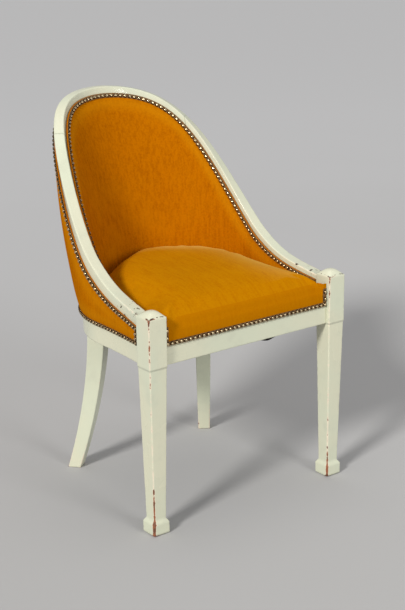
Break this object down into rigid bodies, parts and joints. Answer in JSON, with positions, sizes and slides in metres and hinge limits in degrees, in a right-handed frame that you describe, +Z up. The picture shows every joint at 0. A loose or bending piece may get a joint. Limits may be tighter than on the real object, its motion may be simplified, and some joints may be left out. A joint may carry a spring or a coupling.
{
  "type": "gondola chair",
  "caption": "Upholstered dining chair with a low wrap-around back whose painted rail sweeps down to square front posts, tapered front legs and curved rear legs.",
  "frame": {"origin": "on the floor under the middle of the chair's bounding box", "axes": "+Z up, -Y towards the front edge of the seat, +X to the right when the chair is seen from the front"},
  "size_m": [0.4946, 0.545, 0.8],
  "materials": {
    "painted_wood": "worn satin paint",
    "bare_wood": "bare",
    "velvet": "cotton velvet",
    "burlap": "woven jute",
    "stuffing": "hair and wadding",
    "webbing": "woven jute",
    "steel": "bright wire",
    "dark_cloth": "matt cotton",
    "nail_bronze": "dark bronze",
    "brown_strip": "braid"
  },
  "bodies": {
    "root": {"arm_rail_dowels": "bare_wood", "arm_rail_left": "painted_wood", "arm_rail_right": "painted_wood", "back_burlap": "burlap", "back_rail_dowels": "bare_wood", "back_seat_rail": "painted_wood", "back_stuffing": "stuffing", "back_upright_left": "bare_wood", "back_upright_right": "bare_wood", "back_wadding": "stuffing", "block_screws": "steel", "crest_rail": "painted_wood", "front_block_left": "bare_wood", "front_block_right": "bare_wood", "front_leg_left": "painted_wood", "front_leg_right": "painted_wood", "front_rail_dowels": "bare_wood", "front_seat_rail": "painted_wood", "inside_back_cover": "velvet", "inside_back_nails": "nail_bronze", "inside_back_strip": "brown_strip", "outside_back_cover": "velvet", "outside_back_nails": "nail_bronze", "outside_back_strip": "brown_strip", "outside_hem_nails": "nail_bronze", "outside_hem_strip": "brown_strip", "outside_post_nails": "nail_bronze", "outside_post_strips": "brown_strip", "rear_block_left": "bare_wood", "rear_block_right": "bare_wood", "rear_leg_dowels": "bare_wood", "rear_leg_left": "painted_wood", "rear_leg_right": "painted_wood", "seat_burlap": "burlap", "seat_cover": "velvet", "seat_front_nails": "nail_bronze", "seat_front_strip": "brown_strip", "seat_springs": "steel", "seat_stuffing": "stuffing", "shoulder_dowels": "bare_wood", "side_rail_dowels": "bare_wood", "side_seat_rail_left": "painted_wood", "side_seat_rail_right": "painted_wood", "under_cloth": "dark_cloth", "under_cloth_tacks": "nail_bronze", "upright_dowels": "bare_wood", "webbing_crosswise": "webbing", "webbing_lengthwise": "webbing"}
  },
  "joints": []
}
